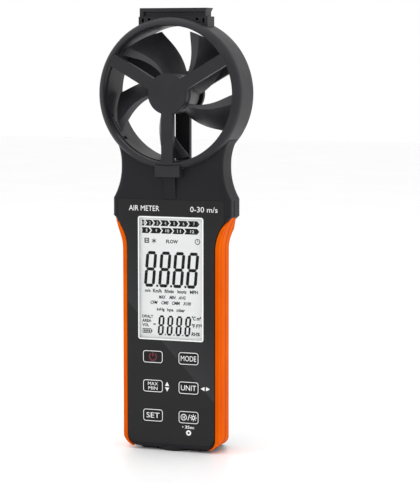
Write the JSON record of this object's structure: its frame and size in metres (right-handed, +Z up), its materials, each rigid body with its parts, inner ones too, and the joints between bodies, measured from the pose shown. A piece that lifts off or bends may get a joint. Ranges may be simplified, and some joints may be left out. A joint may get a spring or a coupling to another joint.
{
  "type": "vane anemometer",
  "caption": "Handheld vane anemometer: spoked duct with a five-blade impeller above a handset with a display, keys and soft side grips.",
  "frame": {"origin": "middle of the footprint on the flat base the instrument stands on", "axes": "+Z up along the handset to the duct, front (display, keys, air inlet) towards -Y, +X to the right seen from the front"},
  "size_m": [0.07, 0.0274, 0.2062],
  "materials": {
    "case_abs": "fine spark-eroded texture",
    "guard_abs": "satin",
    "impeller_abs": "satin",
    "fascia_film": "glossy hard-coated film",
    "window_acrylic": "clear gloss",
    "key_plastic": "satin gloss",
    "grip_tpe": "matte",
    "lcd_glass": "polished",
    "light_guide": "translucent white",
    "holder_plastic": "white",
    "zebra_rubber": "matte",
    "board_fr4": "solder mask",
    "chip_epoxy": "matte",
    "switch_steel": "stamped",
    "screw_steel": "black zinc",
    "shaft_steel": "ground",
    "bearing_bronze": "sintered",
    "insert_brass": "turned",
    "ferrite": "pressed",
    "contact_nickel": "plated",
    "cell_jacket": "plain printed jacket",
    "tray_abs": "matte",
    "flex_film": "polyimide"
  },
  "bodies": {
    "handset": {"front_case": "case_abs", "rear_case": "case_abs", "fascia_overlay": "fascia_film", "display_window": "window_acrylic", "right_grip": "grip_tpe", "left_grip": "grip_tpe", "duct_band": "guard_abs", "duct_liner": "guard_abs", "front_guard": "guard_abs", "rear_guard": "guard_abs", "front_bearing": "bearing_bronze", "rear_bearing": "bearing_bronze", "pickup_board": "board_fr4", "sensor_flex": "flex_film", "sensor_pod": "guard_abs", "pod_cap": "guard_abs", "pod_board": "board_fr4", "humidity_sensor": "chip_epoxy", "lcd_panel": "lcd_glass", "lcd_backlight": "light_guide", "lcd_holder": "holder_plastic", "zebra_strip": "zebra_rubber", "main_board": "board_fr4", "board_parts": "chip_epoxy", "tact_switches": "switch_steel", "buzzer": "chip_epoxy", "board_screws": "screw_steel", "cover_screws": "screw_steel", "guard_screws": "screw_steel", "battery_tray": "tray_abs", "battery_cells": "cell_jacket", "battery_contacts": "contact_nickel", "tripod_boss": "case_abs", "tripod_insert": "insert_brass"},
    "impeller": {"impeller": "impeller_abs", "impeller_shaft": "shaft_steel", "hub_magnet": "ferrite"},
    "battery_door": {"battery_door": "case_abs"},
    "power_key": {"power_key": "key_plastic"},
    "mode_key": {"mode_key": "key_plastic"},
    "maxmin_key": {"maxmin_key": "key_plastic"},
    "unit_key": {"unit_key": "key_plastic"},
    "set_key": {"set_key": "key_plastic"},
    "hold_key": {"hold_key": "key_plastic"}
  },
  "joints": [
    {"name": "impeller_spin", "type": "hinge", "parent": "handset", "child": "impeller", "pos_m": [0, -0.00213, 0.1669], "axis": [0, 1, 0], "continuous": true},
    {"name": "battery_door_tilt", "type": "hinge", "parent": "handset", "child": "battery_door", "pos_m": [0, 0.01372, 0.04665], "axis": [-1, 0, 0], "range_deg": [0, 60]},
    {"name": "power_press", "type": "slide", "parent": "handset", "child": "power_key", "axis": [0, 1, 0], "range_m": [0, 0.00035], "stiffness_N_per_m": 1500},
    {"name": "mode_press", "type": "slide", "parent": "handset", "child": "mode_key", "axis": [0, 1, 0], "range_m": [0, 0.00035], "stiffness_N_per_m": 1500},
    {"name": "maxmin_press", "type": "slide", "parent": "handset", "child": "maxmin_key", "axis": [0, 1, 0], "range_m": [0, 0.00035], "stiffness_N_per_m": 1500},
    {"name": "unit_press", "type": "slide", "parent": "handset", "child": "unit_key", "axis": [0, 1, 0], "range_m": [0, 0.00035], "stiffness_N_per_m": 1500},
    {"name": "set_press", "type": "slide", "parent": "handset", "child": "set_key", "axis": [0, 1, 0], "range_m": [0, 0.00035], "stiffness_N_per_m": 1500},
    {"name": "hold_press", "type": "slide", "parent": "handset", "child": "hold_key", "axis": [0, 1, 0], "range_m": [0, 0.00035], "stiffness_N_per_m": 1500}
  ]
}
